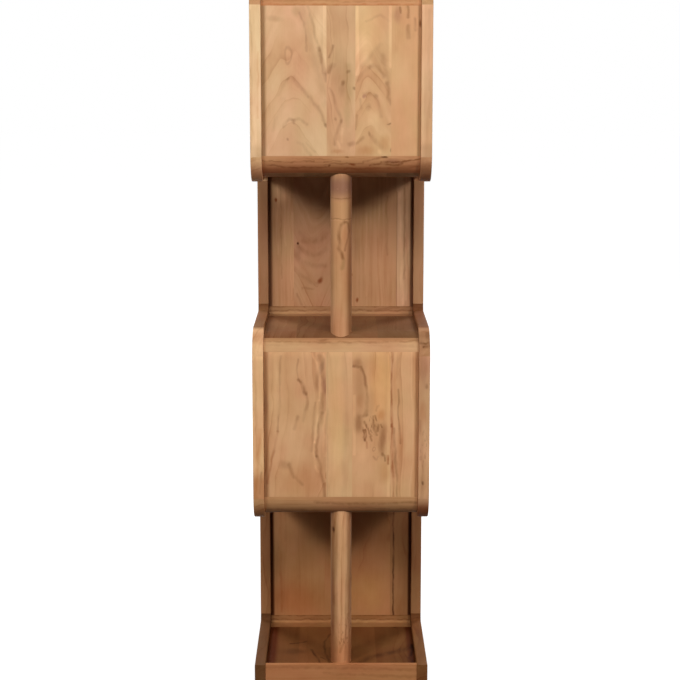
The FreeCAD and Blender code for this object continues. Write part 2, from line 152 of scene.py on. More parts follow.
def timber_group():
    """Wood grain in a space whose Z runs along the grain: rings round a tapering trunk, fibres and pores."""
    inputs = {
        "Point": "Vector", "Seed": "Float", "Aside": "Float", "Behind": "Float", "Taper": "Float",
        "Drift": "Float", "Ring": "Float", "Wander": "Float", "Phase": "Float", "Figure": "Float",
        "Streak": "Float", "Tint": "Color", "End": "Float",
    }
    outputs = {"Color": "Color", "Roughness": "Float", "Height": "Float"}
    tree, g, given, result = new_group("timber", inputs, outputs)

    seed = given["Seed"]
    offset = g.join(seed, g.number("MULTIPLY", seed, 1.7), g.number("MULTIPLY", seed, 0.6))
    place = g.vector("ADD", given["Point"], offset)

    def cloudy(across, along, detail=2.0):
        """Noise whose patches are longer along the grain. across and along are patches in one metre."""
        return g.noise(g.vector("MULTIPLY", place, (across, across, along)), detail)

    # growth rings: cones round the pith, so that a flat board shows them as arches
    sway = g.scaled(g.vector("SUBTRACT", cloudy(9.0, 5.0, 3.0)["Color"], NOISE_MIDDLE), given["Wander"])
    x, y, z = g.parts(g.vector("ADD", given["Point"], sway))
    lean = g.number("MULTIPLY", z, given["Drift"])
    across = g.number("SUBTRACT", g.number("SUBTRACT", x, given["Aside"]), lean)
    deep = g.number("ADD", y, given["Behind"])
    radius = g.vector("LENGTH", g.join(across, deep, 0.0))
    cone = g.number("MULTIPLY_ADD", z, given["Taper"], radius)
    ring = g.number("ADD", g.number("DIVIDE", cone, given["Ring"]), given["Phase"])
    ring = g.number("ADD", ring, seed)
    spacing = g.line_noise(g.number("MULTIPLY", ring, 0.7), 1.0)
    ring = g.number("MULTIPLY_ADD", spacing, 2.0, ring)
    year = g.number("FRACT", ring)
    late = g.number("MULTIPLY", g.ease(year, 0.15, 0.97), g.ease(year, 0.985, 1.0, 1.0, 0.0))
    edge = g.ease(year, 0.86, 0.975)
    edge = g.number("MULTIPLY", edge, g.ease(year, 0.98, 1.0, 1.0, 0.0))
    strength = g.ease(cloudy(11.0, 6.0, 1.0)[0], 0.32, 0.64)
    bands = g.ease(g.line_noise(g.number("MULTIPLY", ring, 0.8), 1.0), 0.25, 0.75)
    fine = g.ease(g.line_noise(g.number("MULTIPLY", ring, 5.5), 1.0), 0.25, 0.75)

    # fibres, pores and the slow change of colour over a board
    fibre = cloudy(700.0, 22.0)[0]
    strand = g.ease(cloudy(170.0, 7.0)[0], 0.2, 0.8)
    pore = g.ease(cloudy(1100.0, 60.0, 1.0)[0], 0.66, 0.74)
    cloud = g.ease(cloudy(14.0, 9.0, 3.0)[0], 0.25, 0.75)
    patch = g.ease(cloudy(42.0, 20.0, 2.0)[0], 0.3, 0.7)
    hue = g.ease(cloudy(12.0, 8.0)["Color"], 0.35, 0.65)

    # how light the wood is: each layer adds its weight, or takes it away
    value = g.number("MULTIPLY_ADD", g.number("SUBTRACT", bands, 0.5), given["Figure"], PLAIN_WOOD)
    marked = g.number("MULTIPLY", strength, given["Figure"])
    layers = (
        (g.number("MULTIPLY", late, marked), -0.55),
        (g.number("MULTIPLY", edge, marked), -0.75),
        (fine, 0.05),
        (cloud, 0.34),
        (patch, 0.10),
        (strand, given["Streak"]),
        (fibre, 0.14),
        (pore, -0.12),
        (given["End"], -0.26),
    )
    for layer, weight in layers:
        value = g.number("MULTIPLY_ADD", layer, weight, value)
    ramp = g.put("ShaderNodeValToRGB", {0: value})
    ramp.color_ramp.elements[0].color = BROWN
    ramp.color_ramp.elements[1].color = PALE
    ramp.color_ramp.elements.new(0.5).color = TAN
    colour = g.blend(HUE_SHARE, ramp.outputs[0], g.blend(hue, ROSY, STRAW), "MULTIPLY")
    colour = g.blend(1.0, colour, given["Tint"], "MULTIPLY")
    rough = g.number("MULTIPLY_ADD", fibre, 0.16, ROUGHNESS)
    rough = g.number("MULTIPLY_ADD", given["End"], 0.1, rough)
    raised = g.number("MULTIPLY_ADD", strand, 0.5, fibre)
    raised = g.number("MULTIPLY_ADD", pore, -0.9, raised)
    g.feed(result["Color"], colour)
    g.feed(result["Roughness"], rough)
    g.feed(result["Height"], raised)
    return tree


def vein_group():
    """How much of a vein there is at a point: 1 on the line from Start to End, 0 beyond Width."""
    inputs = {"Point": "Vector", "Start": "Vector", "End": "Vector", "Width": "Float"}
    tree, g, given, result = new_group("vein", inputs, {"Mask": "Float"})
    run = g.vector("SUBTRACT", given["End"], given["Start"])
    reach = g.vector("SUBTRACT", given["Point"], given["Start"])
    share = g.number("DIVIDE", g.vector("DOT_PRODUCT", reach, run), g.vector("DOT_PRODUCT", run, run))
    share = g.put("ShaderNodeClamp", {"Value": share}).outputs[0]
    away = g.vector("LENGTH", g.vector("SUBTRACT", reach, g.scaled(run, share)))
    g.feed(result["Mask"], g.ease(g.number("DIVIDE", away, given["Width"]), 0.0, 1.0, 1.0, 0.0))
    return tree


def blot_group():
    """How far a point is from an oval's centre: 0 there and 1 on its outline."""
    inputs = {"Point": "Vector", "Centre": "Vector", "Size": "Vector", "Tilt": "Float"}
    tree, g, given, result = new_group("blot", inputs, {"Distance": "Float"})
    away = g.vector("SUBTRACT", given["Point"], given["Centre"])
    turn = {"Vector": away, "Axis": (0.0, 1.0, 0.0), "Angle": given["Tilt"]}
    turned = g.put("ShaderNodeVectorRotate", turn).outputs[0]
    g.feed(result["Distance"], g.vector("LENGTH", g.vector("DIVIDE", turned, given["Size"])))
    return tree


TIMBER = timber_group()
VEIN = vein_group()
BLOT = blot_group()

# Marks on an upright face, in millimetres. A place is (x, height) in the frame, or (x, y) on the shelves,
# which lie flat. A size is half of an oval's width and height, and a width is how far a line reaches to each
# side. A tilt is in degrees, and a depth is how much of the ink a mark takes.
Vein = namedtuple("Vein", "points width ink depth")
Blot = namedtuple("Blot", "centre size tilt ink depth")
Knot = namedtuple("Knot", "centre size tilt ink depth")
Flecks = namedtuple("Flecks", "centre size tilt ink depth")
# A straight, even strip, mostly along an edge. Most dark ones are painted shade, and a few are thin dark
# lines at joints; the pale ones are pale streaks, except along the front boards' and frames' edges, where
# they are painted highlights. Its ends are whole places, (x, y, z), in the frame.
Strip = namedtuple("Strip", "start end width ink depth")

# How a piece was sawn.
# aside, behind: where the pith runs beside and behind the piece's middle, in millimetres.
# taper, drift: how much the rings narrow along the grain and how far the pith leans aside, as slopes.
# ring, wander: how far the rings are apart and how far they stray, in millimetres.
# figure, streak: how strongly the rings and the strands show.
Cut = namedtuple("Cut", "aside behind taper drift ring wander figure streak")

# takes a point onto the face that the marks are drawn on
NO_DEPTH = (1.0, 0.0, 1.0)
# a drawn line strays by up to half of this, in metres
WOBBLE = 0.011


def spot(x, height):
    return (x * MM, 0.0, height * MM)


def strip_mask(g, place, mark):
    start, end = (tuple(value * MM for value in corner) for corner in (mark.start, mark.end))
    ends = {"Point": place, "Start": start, "End": end, "Width": mark.width * MM}
    return g.ease(g.group(VEIN, ends).outputs[0], 0.0, 0.6)


def vein_mask(g, flat, mark):
    mask = None
    for start, end in zip(mark.points, mark.points[1:]):
        ends = {"Point": flat, "Start": spot(*start), "End": spot(*end), "Width": mark.width * MM}
        piece = g.group(VEIN, ends).outputs[0]
        mask = piece if mask is None else g.number("MAXIMUM", mask, piece)
    return mask


def oval_distance(g, flat, mark):
    """How far a point of the face is from an oval mark's centre: 1 on its outline."""
    where = {
        "Point": flat, "Centre": spot(*mark.centre), "Size": (mark.size[0] * MM, 1.0, mark.size[1] * MM),
        "Tilt": math.radians(mark.tilt),
    }
    return g.group(BLOT, where).outputs[0]


def paint_marks(g, colour, place, point, marks):
    """The wood's colour with a piece's marks drawn over it. place is where the point is in the frame."""
    if not marks:
        return colour
    ripple = g.noise(g.vector("MULTIPLY", point, (48.0, 48.0, 26.0)), 3.0)["Color"]
    wobble = g.scaled(g.vector("SUBTRACT", ripple, NOISE_MIDDLE), WOBBLE)
    flat = g.vector("MULTIPLY", g.vector("ADD", point, wobble), NO_DEPTH)
    worn = g.noise(g.vector("MULTIPLY", point, (70.0, 70.0, 26.0)), 2.0)[0]
    uneven = g.ease(worn, 0.3, 0.62, 0.35, 1.0)
    speck = g.noise(g.vector("MULTIPLY", point, (300.0, 300.0, 90.0)), 1.0)[0]
    for mark in marks:
        if isinstance(mark, Strip):
            mask = strip_mask(g, place, mark)
        elif isinstance(mark, Vein):
            mask = g.number("MULTIPLY", vein_mask(g, flat, mark), uneven)
        elif isinstance(mark, Blot):
            mask = g.ease(oval_distance(g, flat, mark), 0.2, 1.2, 1.0, 0.0)
        elif isinstance(mark, Flecks):
            mask = g.ease(oval_distance(g, flat, mark), 0.5, 1.1, 1.0, 0.0)
            mask = g.number("MULTIPLY", mask, g.ease(speck, 0.54, 0.66))
        else:
            off_rim = g.number("ABSOLUTE", g.number("SUBTRACT", oval_distance(g, flat, mark), 0.95))
            mask = g.number("MULTIPLY", g.ease(off_rim, 0.0, 0.4, 1.0, 0.0), uneven)
        colour = g.blend(g.number("MULTIPLY", mask, mark.depth), colour, mark.ink, "MULTIPLY")
    return colour


def ring_bend(g, point, marks):
    """How far a piece's knots push the rings out around them."""
    bend = 0.0
    for knot in (mark for mark in marks if isinstance(mark, Knot)):
        distance = oval_distance(g, g.vector("MULTIPLY", point, NO_DEPTH), knot)
        bend = g.number("ADD", bend, g.ease(distance, 0.3, 2.4, 0.35, 0.0))
    return bend


AXES = "xyz"
ACROSS = {"x": "yz", "y": "xz", "z": "xy"}
# where one board of a shelf meets the next, in x, in millimetres
SHELF_SEAMS = (-101, -12, 83)
WOOD_IOR = 1.45
WOOD_SPECULAR = 0.05
BUMP_STRENGTH = 0.35
# how far the fibres stand out, in metres
BUMP_DEPTH = 0.0004


def wood_material(name, along, cut, tint, seed, marks, seams, flat):
    """Acacia with its grain along one axis.

    seams are the places, in x, where one board of a node meets the next. flat says that the piece lies flat,
    so that its marks are drawn in (x, y).
    """
    low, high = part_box(name)
    centre = (low + high) / 2
    material = bpy.data.materials.new("wood_" + name)
    g = empty_graph(material)
    point = g.put("ShaderNodeTexCoord", {}).outputs["Object"]
    normal = g.parts(g.put("ShaderNodeNewGeometry", {}).outputs["Normal"])
    local = g.parts(g.vector("SUBTRACT", point, tuple(centre)))
    order = [AXES.index(axis) for axis in ACROSS[along] + along]
    grain_point = g.join(*(local[axis] for axis in order))
    end = g.ease(g.number("ABSOLUTE", normal[AXES.index(along)]), 0.35, 0.95)
    x, y, z = g.parts(point)
    drawn = g.join(x, z, y) if flat else point
    if seams:
        count = 0.0
        for seam in seams:
            count = g.number("ADD", count, g.number("GREATER_THAN", x, seam * MM))
        change = g.line_noise(g.number("MULTIPLY_ADD", count, 5.3, seed), 0.0)
        tint = g.scaled(tint[:3], g.ease(change, 0.3, 0.7, 0.82, 1.14))
        seed = g.number("MULTIPLY_ADD", count, 3.7, seed)
    timber = g.group(TIMBER, {
        "Point": grain_point, "Seed": seed, "Aside": cut.aside * MM, "Behind": cut.behind * MM,
        "Taper": cut.taper, "Drift": cut.drift, "Ring": cut.ring * MM, "Wander": cut.wander * MM,
        "Phase": ring_bend(g, drawn, marks), "Figure": cut.figure, "Streak": cut.streak,
        "Tint": tint, "End": end,
    })
    bump = g.put("ShaderNodeBump", {
        "Height": timber.outputs["Height"], "Strength": BUMP_STRENGTH, "Distance": BUMP_DEPTH,
    })
    shader = g.put("ShaderNodeBsdfPrincipled", {
        "Base Color": paint_marks(g, timber.outputs["Color"], point, drawn, marks),
        "Roughness": timber.outputs["Roughness"], "Normal": bump.outputs[0],
        "IOR": WOOD_IOR, "Specular IOR Level": WOOD_SPECULAR,
    })
    g.put("ShaderNodeOutputMaterial", {"Surface": shader.outputs[0]})
    return material


def dress(name, material):
    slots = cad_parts[name].data.materials
    slots.clear()
    slots.append(material)


# ---------------------------------------------------------------- how each piece was sawn, and its marks

CUTS = {
    "upper_front_board_1": Cut(-8, 34, 0.56, 0.0, 46, 50, 0.20, 0.03),
    "upper_front_board_2": Cut(-90, 30, 0.1, 0.05, 30, 90, 0.26, 0.03),
    "upper_front_board_3": Cut(-5, 22, 0.50, 0.0, 27, 55, 0.26, 0.03),
    "upper_front_board_4": Cut(160, 20, 0.1, 0.02, 45, 60, 0.10, 0.04),
    "lower_front_board_1": Cut(70, 20, 0.05, 0.02, 30, 60, 0.26, 0.06),
    "lower_front_board_2": Cut(-150, 30, 0.0, 0.01, 45, 60, 0.16, 0.05),
    "lower_front_board_3": Cut(-70, 50, 0.02, 0.02, 34, 70, 0.26, 0.05),
    "lower_front_board_4": Cut(-110, 20, 0.0, 0.01, 20, 40, 0.30, 0.12),
    "upper_rear_board_1": Cut(-90, 20, 0.0, 0.0, 22, 30, 0.22, 0.40),
    "upper_rear_board_2": Cut(0, 26, -0.42, 0.0, 20, 45, 0.30, 0.06),
    "upper_rear_board_3": Cut(160, 30, 0.0, 0.0, 20, 30, 0.20, 0.44),
    "upper_rear_board_4": Cut(-90, 20, 0.0, 0.0, 18, 30, 0.26, 0.42),
    "lower_rear_board_1": Cut(-90, 20, 0.0, 0.0, 40, 40, 0.12, 0.10),
    "lower_rear_board_2": Cut(120, 20, 0.0, 0.0, 40, 50, 0.14, 0.08),
    "lower_rear_board_3": Cut(20, 60, 0.1, 0.0, 34, 70, 0.18, 0.06),
    "upper_opening_post": Cut(60, 20, 0.02, 0.0, 14, 25, 0.16, 0.16),
    "lower_opening_post": Cut(50, 20, 0.02, 0.02, 11, 30, 0.40, 0.40),
    "right_upper_front_stile": Cut(60, 60, 0.0, 0.0, 24, 30, 0.12, 0.06),
}

MARKS = {
    "upper_front_board_1": [
        # painted shade: the left frame's shadow on the recessed board
        Strip((-176, -164, 1550), (-176, -164, 1205), 17, GRIME_AND_SHADE, 0.90),
        Blot((-110, 1460), (60, 110), 0, ROSE, 0.8),
        Blot((-100, 1240), (90, 60), 0, GRIME_AND_SHADE, 0.12),
        Blot((-48, 1496), (15, 74), -12, CREAM, 0.50),
        # painted highlight along the board's right edge
        Strip((-35, -164, 1550), (-35, -164, 1400), 7, CREAM, 0.55),
        Blot((-98, 1528), (12, 16), 0, OLIVE, 0.50),
        Blot((-146, 1511), (22, 9), -8, STAIN_AND_SHADE, 0.24),
        Vein(
            [(-84, 1545), (-81, 1511), (-70, 1480), (-64, 1448), (-51, 1405), (-40, 1362), (-34, 1330)],
            17, GRIME_AND_SHADE, 0.22,
        ),
        Vein([(-92, 1524), (-81, 1501), (-77, 1473), (-76, 1443)], 4.5, STAIN_AND_SHADE, 0.34),
        Vein([(-75, 1545), (-66, 1511), (-57, 1486), (-49, 1445)], 6, STAIN_AND_SHADE, 0.40),
        Vein([(-50, 1450), (-42, 1420), (-36, 1396), (-32, 1378)], 7, STAIN_AND_SHADE, 0.60),
        Knot((-116, 1433), (8, 18), 0, STAIN_AND_SHADE, 0.30),
        Blot((-116, 1434), (7, 17), 0, CREAM, 0.30),
        Blot((-115, 1383), (5, 4), 30, STAIN_AND_SHADE, 0.40),
        Vein([(-118, 1379), (-127, 1364), (-136, 1347)], 6, STAIN_AND_SHADE, 0.24),
        Vein([(-127, 1339), (-129, 1320), (-140, 1301), (-153, 1271)], 8, STAIN_AND_SHADE, 0.18),
        Vein([(-105, 1386), (-98, 1375), (-83, 1358), (-70, 1343)], 7, STAIN_AND_SHADE, 0.28),
        Vein([(-70, 1343), (-53, 1322), (-42, 1303), (-36, 1284)], 7, STAIN_AND_SHADE, 0.34),
        Blot((-35, 1281), (5, 7), 20, STAIN_AND_SHADE, 0.62),
        Vein([(-127, 1279), (-122, 1290), (-114, 1294), (-106, 1291), (-105, 1286)], 6, STAIN_AND_SHADE, 0.36),
        Vein([(-106, 1291), (-96, 1295), (-85, 1290), (-77, 1285)], 6, STAIN_AND_SHADE, 0.32),
        Blot((-118, 1252), (3, 4), 0, STAIN_AND_SHADE, 0.50),
        Vein([(-96, 1243), (-85, 1240), (-77, 1228), (-68, 1215)], 6.5, STAIN_AND_SHADE, 0.26),
        Vein([(-75, 1241), (-57, 1224)], 5, STAIN_AND_SHADE, 0.22),
    ],
    "upper_front_board_2": [
        Blot((0, 1520), (44, 50), 0, ASH, 0.16),
        Blot((-2, 1400), (30, 70), 8, GRIME_AND_SHADE, 0.22),
        Vein([(16, 1410), (17, 1340), (15, 1290), (14, 1240)], 14, OLIVE, 0.42),
        Vein([(-19, 1454), (-22, 1438), (-25, 1429)], 4.5, STAIN_AND_SHADE, 0.55),
        Vein([(-18, 1414), (-24, 1408), (-29, 1396)], 8, STAIN_AND_SHADE, 0.55),
        Blot((15, 1398), (7, 5), 20, STAIN_AND_SHADE, 0.50),
        Blot((4, 1374), (5, 8), -10, STAIN_AND_SHADE, 0.60),
        Blot((27, 1361), (4, 5), 0, STAIN_AND_SHADE, 0.60),
        Blot((1, 1360), (7, 18), 0, STAIN_AND_SHADE, 0.22),
        Vein([(-27, 1360), (-17, 1346), (-10, 1323), (-3, 1303), (-1, 1289)], 6, STAIN_AND_SHADE, 0.34),
        Vein([(-1, 1292), (-5, 1273), (-11, 1257), (-14, 1238)], 6, STAIN_AND_SHADE, 0.40),
        Vein([(3, 1273), (1, 1245)], 5, CREAM, 0.60),
        Vein([(-9, 1245), (-1, 1231)], 6, CREAM, 0.50),
        Blot((-14, 1295), (4, 5), 0, STAIN_AND_SHADE, 0.36),
        Blot((22, 1241), (11, 7), 0, STAIN_AND_SHADE, 0.40),
        Blot((-8, 1224), (16, 6), 0, RUST, 0.45),
    ],
    "upper_front_board_3": [
        Blot((60, 1490), (44, 80), 0, HONEY, 0.30),
        Blot((56, 1470), (34, 76), 0, CREAM, 0.34),
        Blot((46, 1440), (16, 56), 0, CREAM, 0.30),
        # painted highlights along the board's two edges
        Strip((32, -164, 1545), (34, -164, 1395), 9, CREAM, 0.70),
        Strip((109, -164, 1545), (109, -164, 1411), 8, CREAM, 0.75),
        Vein([(54, 1505), (71, 1516), (88, 1520), (105, 1508)], 5, STAIN_AND_SHADE, 0.18),
        Blot((80, 1428), (20, 32), 0, STAIN_AND_SHADE, 0.20),
        Vein([(86, 1457), (68, 1438), (57, 1422), (46, 1410)], 9, STAIN_AND_SHADE, 0.22),
        Vein([(36, 1381), (44, 1392), (54, 1402), (60, 1407)], 8, STAIN_AND_SHADE, 0.26),
        Vein([(62, 1409), (71, 1410), (80, 1407), (87, 1397), (93, 1388)], 8.5, STAIN_AND_SHADE, 0.40),
        Vein([(91, 1431), (94, 1414), (100, 1394), (102, 1375)], 9, STAIN_AND_SHADE, 0.24),
        Vein([(100, 1374), (104, 1354), (103, 1343), (110, 1328)], 7.5, STAIN_AND_SHADE, 0.44),
        Vein([(49, 1351), (60, 1350), (71, 1348), (78, 1345)], 6.5, STAIN_AND_SHADE, 0.28),
        Blot((51, 1345), (6, 6), 0, MAUVE, 0.90),
        Vein([(75, 1346), (81, 1333), (84, 1315), (87, 1302)], 7, STAIN_AND_SHADE, 0.24),
        Vein([(42, 1337), (45, 1320)], 6, STAIN_AND_SHADE, 0.24),
        Blot((60, 1322), (8, 10), 0, STAIN_AND_SHADE, 0.22),
        Vein([(35, 1303), (32, 1286), (30, 1273)], 5, STAIN_AND_SHADE, 0.34),
        Blot((66, 1300), (24, 20), 0, CREAM, 0.36),
        Blot((107, 1284), (7, 3), 0, STAIN_AND_SHADE, 0.62),
        Blot((62, 1264), (4, 7), 15, STAIN_AND_SHADE, 0.48),
        Vein([(48, 1254), (36, 1244), (26, 1239)], 6, STAIN_AND_SHADE, 0.38),
        Vein([(68, 1258), (84, 1241), (89, 1235)], 7.5, STAIN_AND_SHADE, 0.30),
        Blot((98, 1243), (16, 22), 0, RUST, 0.50),
        Blot((58, 1227), (24, 13), 0, RUST, 0.45),
        Blot((84, 1224), (5, 9), 0, CREAM, 0.60),
        Blot((110, 1228), (2.5, 6), 0, STAIN_AND_SHADE, 0.60),
    ],
    "upper_front_board_4": [
        Blot((123, 1520), (11, 24), 0, MAUVE, 0.62),
        Vein([(129, 1536), (130, 1523)], 4, STAIN_AND_SHADE, 0.80),
        Vein([(144, 1540), (145, 1515)], 5, STAIN_AND_SHADE, 0.55),
        Vein([(146, 1496), (147, 1472)], 7, STAIN_AND_SHADE, 0.50),
        Vein([(160, 1512), (161, 1489)], 6, STAIN_AND_SHADE, 0.45),
        Blot((172, 1503), (4, 11), 0, STAIN_AND_SHADE, 0.85),
        Blot((142, 1320), (22, 50), 0, RUST, 0.16),
        # painted shade: the right frame's shadow on the recessed board
        Strip((175, -164, 1550), (175, -164, 1205), 12, GRIME_AND_SHADE, 0.66),
    ],
    "lower_front_board_1": [
        # painted shade: the left frame's shadow on the recessed board
        Strip((-176, -164, 790), (-176, -164, 425), 18, STAIN_AND_SHADE, 0.74),
        Blot((-171, 655), (8, 36), 0, MAUVE, 0.55),
        Blot((-90, 475), (80, 60), 0, RUST, 0.42),
        Vein([(-148, 765), (-149, 700), (-153, 625)], 10, CREAM, 0.42),
        Vein([(-135, 765), (-138, 725), (-139, 680), (-141, 636), (-144, 592)], 4.5, STAIN_AND_SHADE, 0.40),
        Vein([(-144, 592), (-150, 562), (-156, 531), (-163, 502), (-167, 473)], 5, UMBER, 0.50),
        Vein([(-98, 760), (-99, 735), (-95, 714)], 4, STAIN_AND_SHADE, 0.36),
        Vein([(-95, 711), (-89, 704), (-84, 692), (-81, 680)], 7, STAIN_AND_SHADE, 0.85),
        Vein([(-82, 683), (-78, 669), (-77, 656), (-81, 638), (-86, 616)], 6.5, STAIN_AND_SHADE, 0.42),
        Vein([(-99, 626), (-103, 612), (-106, 599)], 7, STAIN_AND_SHADE, 0.66),
        Vein([(-64, 772), (-58, 752), (-51, 732), (-48, 716), (-47, 692), (-49, 665)], 5, CREAM, 0.95),
        Vein([(-49, 665), (-53, 638), (-55, 611), (-58, 587), (-61, 567)], 5, CREAM, 0.95),
        Vein([(-61, 567), (-62, 540), (-60, 518), (-54, 500)], 5, CREAM, 0.80),
        Blot((-55, 706), (7, 24), 0, STAIN_AND_SHADE, 0.44),
        Vein([(-58, 660), (-63, 620), (-65, 580), (-66, 548)], 5, STAIN_AND_SHADE, 0.32),
        Vein([(-49, 767), (-44, 740), (-40, 718), (-37, 696), (-42, 665), (-44, 636)], 8, STAIN_AND_SHADE, 0.56),
        Vein([(-44, 636), (-49, 611), (-53, 580), (-57, 558), (-55, 536)], 6.5, STAIN_AND_SHADE, 0.52),
        Vein([(-55, 536), (-49, 518), (-47, 496), (-40, 473), (-38, 447), (-36, 430)], 7, STAIN_AND_SHADE, 0.50),
        Blot((-45, 742), (7, 24), -10, ASH, 0.80),
        Blot((-38, 700), (7, 24), 0, MAUVE, 0.70),
        Vein([(-40, 772), (-34, 752)], 4.5, CREAM, 0.70),
        Vein([(-37, 638), (-40, 592), (-40, 558), (-38, 536)], 5, CREAM, 0.70),
        Blot((-128, 515), (17, 13), 0, STAIN_AND_SHADE, 0.30),
        Vein([(-118, 516), (-112, 500), (-106, 487)], 7.5, STAIN_AND_SHADE, 0.46),
        Vein([(-106, 487), (-88, 469)], 7, STAIN_AND_SHADE, 0.34),
    ],
    "lower_front_board_2": [
        Blot((-10, 600), (26, 200), 0, HONEY, 0.5),
        Vein([(8, 790), (10, 600), (4, 430)], 10, ASH, 0.25),
        Vein([(-32, 790), (-32, 430)], 4, STAIN_AND_SHADE, 0.2),
    ],
    "lower_front_board_3": [
        Blot((90, 700), (34, 110), 0, HONEY, 1.0),
        # painted highlight along the board's left edge
        Strip((30, -164, 675), (30, -164, 540), 5, CREAM, 0.45),
        Blot((42, 690), (18, 86), 0, STAIN_AND_SHADE, 0.34),
        Blot((42, 664), (12, 18), 0, RUST, 0.30),
        Blot((66, 660), (14, 40), 0, STAIN_AND_SHADE, 0.18),
        Vein([(30, 744), (44, 741), (52, 722), (57, 696), (58, 655), (57, 632)], 6, STAIN_AND_SHADE, 0.70),
        Blot((36, 750), (14, 12), 10, STAIN_AND_SHADE, 0.40),
        Vein([(58, 640), (52, 630), (40, 626)], 7, STAIN_AND_SHADE, 0.55),
        Blot((39, 610), (14, 26), 0, STAIN_AND_SHADE, 0.60),
        Blot((91, 630), (12, 16), 0, RUST, 0.60),
        Blot((94, 574), (10, 46), -4, STAIN_AND_SHADE, 0.66),
        Blot((83, 604), (14, 20), 20, STAIN_AND_SHADE, 0.24),
        Vein([(78, 630), (80, 619)], 4, STAIN_AND_SHADE, 0.85),
        Vein([(84, 652), (80, 642)], 4, STAIN_AND_SHADE, 0.45),
        Vein([(83, 608), (82, 593)], 4.5, STAIN_AND_SHADE, 0.90),
        Vein([(89, 609), (92, 603)], 3.5, STAIN_AND_SHADE, 0.60),
        Vein([(73, 628), (72, 609), (75, 598), (81, 584)], 4.5, STAIN_AND_SHADE, 0.55),
        Vein([(54, 615), (60, 602), (64, 590), (70, 583)], 4.5, STAIN_AND_SHADE, 0.55),
        Vein([(50, 595), (50, 580), (53, 573)], 4.5, STAIN_AND_SHADE, 1.0),
        Vein([(55, 596), (55, 582), (53, 575)], 4, STAIN_AND_SHADE, 0.90),
        Vein([(66, 582), (69, 572)], 5, STAIN_AND_SHADE, 0.75),
        Vein([(57, 570), (59, 556)], 4, UMBER, 0.55),
        Knot((76, 551), (3.5, 5), 0, STAIN_AND_SHADE, 0.60),
        Blot((93, 540), (5, 6), 0, STAIN_AND_SHADE, 0.60),
        Vein([(98, 538), (98, 525)], 4.5, STAIN_AND_SHADE, 0.80),
        Vein([(106, 536), (106, 518)], 5.5, UMBER, 0.95),
        Vein([(74, 534), (79, 526), (84, 534)], 3.5, STAIN_AND_SHADE, 0.35),
        Blot((98, 500), (16, 34), 0, RUST, 0.50),
        Blot((46, 545), (20, 30), 0, CREAM, 0.36),
        Flecks((64, 600), (18, 34), -20, STAIN_AND_SHADE, 0.5),
        # painted highlight along the board's right edge
        Strip((109, -164, 790), (109, -164, 430), 7, CREAM, 0.5),
    ],
    "lower_front_board_4": [
        Vein([(114, 790), (114, 680), (114, 605)], 4.5, UMBER, 0.75),
        Vein([(114, 610), (116, 569), (118, 520), (119, 430)], 5, UMBER, 0.72),
        Vein([(119, 600), (122, 557), (126, 491), (127, 430)], 5, STAIN_AND_SHADE, 0.60),
        Vein([(129, 690), (130, 652), (132, 609), (133, 566)], 4, STAIN_AND_SHADE, 0.62),
        Blot((122, 700), (7, 60), 0, RUST, 0.40),
        Blot((135, 560), (10, 34), 0, RUST, 0.34),
        Strip((167, -164, 790), (167, -164, 425), 6, CREAM, 0.3),
        # painted shade: the right frame's shadow on the recessed board
        Strip((175, -164, 790), (175, -164, 425), 14, STAIN_AND_SHADE, 0.46),
    ],
    "upper_rear_board_1": [
        # painted shade beside the left rear frame
        Strip((-176, 144, 1160), (-176, 144, 825), 16, PITCH_BLACK, 0.85),
        Blot((-158, 1091), (3.5, 7), 0, UMBER, 1.0),
        # painted light: a paler patch at the board's top left
        Blot((-143, 1114), (26, 42), 0, CREAM, 1.0),
        Blot((-147, 1116), (24, 36), 0, CREAM, 0.9),
        Vein([(-154, 1130), (-153, 960)], 3.5, CREAM, 0.5),
        Vein([(-144, 1130), (-144, 900)], 3, STAIN_AND_SHADE, 0.34),
        Vein([(-134, 1140), (-135, 980)], 4, CREAM, 0.4),
        Vein([(-121, 1120), (-120, 850)], 3, CREAM, 0.5),
        Strip((-114, 144, 1060), (-114, 144, 880), 4, CREAM, 0.5),
    ],
    "upper_rear_board_2": [
        Blot((-49, 897), (7, 11), -25, UMBER, 0.90),
        Blot((-104, 987), (3.5, 4), 0, PITCH_BLACK, 1.0),
        Blot((-104, 965), (12, 24), 0, STAIN_AND_SHADE, 0.36),
        Vein([(-98, 1012), (-88, 1000), (-70, 994), (-50, 998), (-36, 1010)], 10, STAIN_AND_SHADE, 0.20),
        Vein([(-93, 993), (-72, 987), (-52, 991), (-36, 1001)], 9, STAIN_AND_SHADE, 0.26),
        Vein([(-106, 983), (-88, 967), (-67, 959), (-52, 962), (-36, 972)], 10, STAIN_AND_SHADE, 0.30),
        Vein([(-108, 957), (-93, 944), (-72, 933), (-52, 931), (-36, 933)], 10, STAIN_AND_SHADE, 0.30),
        Vein([(-111, 925), (-93, 907), (-72, 894), (-59, 889)], 9, STAIN_AND_SHADE, 0.26),
        Vein([(-93, 878), (-67, 876)], 5, STAIN_AND_SHADE, 0.30),
        Vein([(-107, 865), (-95, 837)], 5, STAIN_AND_SHADE, 0.36),
        Blot((-70, 860), (50, 40), 0, CREAM, 0.34),
    ],
    "upper_rear_board_3": [
        Blot((40, 850), (4.5, 8), 0, UMBER, 0.9),
        Blot((24, 911), (3.5, 6), 0, UMBER, 0.9),
        Blot((34, 985), (14, 50), 0, ASH, 0.40),
        Vein([(62, 1060), (60, 960), (62, 860)], 4, CREAM, 0.34),
        Vein([(92, 1080), (90, 900)], 4, CREAM, 0.30),
        Vein([(110, 1100), (112, 960)], 5, STAIN_AND_SHADE, 0.30),
    ],
    "upper_rear_board_4": [
        # painted shade beside the right rear frame
        Strip((175, 144, 1160), (175, 144, 825), 12, PITCH_BLACK, 0.80),
